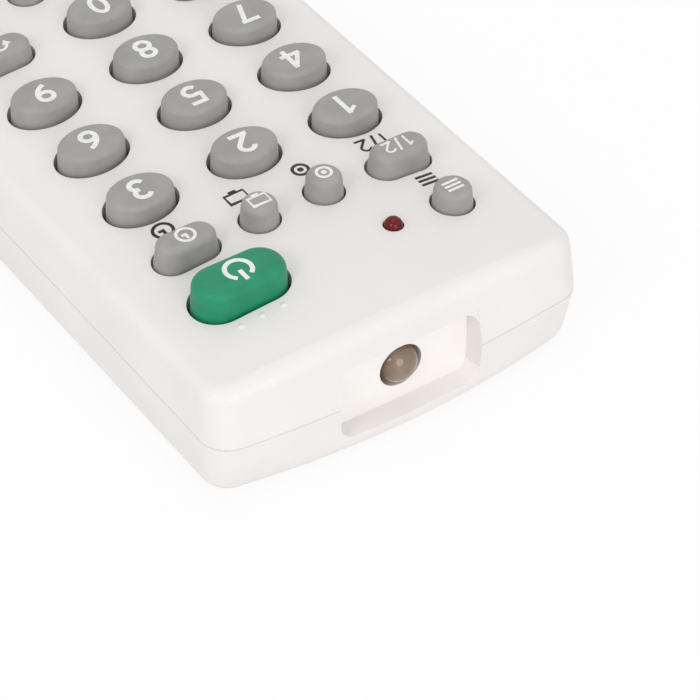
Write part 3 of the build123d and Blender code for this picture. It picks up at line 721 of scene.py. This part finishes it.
studio = {
    "cameraAt": (138.8, 223.8, 225.6),      # mm, y counted from the key of the two
    "cameraAim": (8.0, 31.8, 16.0),
    "lens": 161.48,
    "sensor": 36.0,
    "nearest": 10 * mm,
    "worldLight": 0.72,
    "floorColour": (246, 246, 246),
    "floorShaded": (243, 243, 243),
    "floorPatch": 0.4,
    "floorRoughness": 0.7,
    "floorGlow": 0.88,                # share of plain white that the camera sees in the floor
    "floorHalf": 3.0,
    "floorDrop": 0.02 * mm,
    "lampsAim": (0, 0.05, 0.01),
    "keyAt": (0.75, 0.35, 0.62), "keySize": 0.35, "keyPower": 1.7,
    "fillAt": (0.1, 0.9, 0.35), "fillSize": 0.6, "fillPower": 1.95,
    "topAt": (-0.15, -0.1, 1.1), "topSize": 0.8, "topPower": 1.35,
}


def aimAt(thing, target):
    way = Vector(target) - thing.location
    thing.rotation_euler = way.to_track_quat("-Z", "Y").to_euler()


def areaLight(name, at, size, power, target):
    light = bpy.data.lights.new(name, "AREA")
    light.shape = "DISK"
    light.size = size
    light.energy = power
    lamp = bpy.data.objects.new(name, light)
    lamp.location = at
    bpy.context.collection.objects.link(lamp)
    aimAt(lamp, target)
    return lamp


def whiteForCamera(tree, source, strength, target):
    # mixes plain white in for what the camera sees directly, in gloss or through clear plastic
    path = tree.nodes.new("ShaderNodeLightPath")
    most = tree.nodes.new("ShaderNodeMath")
    most.operation = "MAXIMUM"
    tree.links.new(path.outputs["Is Camera Ray"], most.inputs[0])
    either = tree.nodes.new("ShaderNodeMath")
    either.operation = "MAXIMUM"
    tree.links.new(path.outputs["Is Glossy Ray"], either.inputs[0])
    tree.links.new(path.outputs["Is Transmission Ray"], either.inputs[1])
    tree.links.new(either.outputs[0], most.inputs[1])
    share = tree.nodes.new("ShaderNodeMath")
    share.operation = "MULTIPLY"
    share.inputs[1].default_value = strength
    tree.links.new(most.outputs[0], share.inputs[0])
    mix = tree.nodes.new("ShaderNodeMixShader")
    tree.links.new(share.outputs[0], mix.inputs[0])
    tree.links.new(source, mix.inputs[1])
    tree.links.new(mix.outputs[0], target)
    return mix


def makeStudio():
    world = bpy.data.worlds.new("studio")
    bpy.context.scene.world = world
    world.use_nodes = True
    tree = world.node_tree
    sky = tree.nodes["Background"]
    sky.inputs["Strength"].default_value = studio["worldLight"]
    sky.inputs["Color"].default_value = (1, 1, 1, 1)
    plain = tree.nodes.new("ShaderNodeBackground")
    plain.inputs["Color"].default_value = (1, 1, 1, 1)
    mix = whiteForCamera(tree, sky.outputs[0], 1.0, tree.nodes["World Output"].inputs["Surface"])
    tree.links.new(plain.outputs[0], mix.inputs[2])

    floorMesh = bpy.data.meshes.new("floor")
    sheet = bmesh.new()
    bmesh.ops.create_grid(sheet, x_segments=8, y_segments=8, size=studio["floorHalf"])
    sheet.to_mesh(floorMesh)
    sheet.free()
    floor = bpy.data.objects.new("floor", floorMesh)
    floor.location = (0, 0, -studio["floorDrop"])
    bpy.context.collection.objects.link(floor)
    material, shader = newMaterial("paleFloor", studio["floorRoughness"])
    pale = ramp(material, noise(material, studio["floorPatch"]), linear(studio["floorShaded"]),
                linear(studio["floorColour"]))
    wire(material, pale, shader.inputs["Base Color"])
    glow = addNode(material, "ShaderNodeEmission", {"Strength": 1.0})
    output = material.node_tree.nodes["Material Output"]
    mix = whiteForCamera(material.node_tree, shader.outputs[0], studio["floorGlow"], output.inputs["Surface"])
    material.node_tree.links.new(glow.outputs[0], mix.inputs[2])
    floorMesh.materials.append(material)

    target = studio["lampsAim"]
    areaLight("keyLamp", studio["keyAt"], studio["keySize"], studio["keyPower"], target)
    areaLight("fillLamp", studio["fillAt"], studio["fillSize"], studio["fillPower"], target)
    areaLight("topLamp", studio["topAt"], studio["topSize"], studio["topPower"], target)

    lens = bpy.data.cameras.new("camera")
    lens.lens = studio["lens"]
    lens.sensor_width = studio["sensor"]
    lens.clip_start = studio["nearest"]
    camera = bpy.data.objects.new("camera", lens)
    low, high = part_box("key_two")
    twoKey = Vector((0, (low[1] + high[1]) / 2, 0))
    camera.location = Vector(studio["cameraAt"]) * mm + twoKey
    bpy.context.collection.objects.link(camera)
    aimAt(camera, Vector(studio["cameraAim"]) * mm + twoKey)
    bpy.context.scene.camera = camera
    bpy.context.scene.view_settings.view_transform = "Standard"
    print("studio ready")


def main():
    dressNodes()
    printKeys()
    makeStudio()


main()
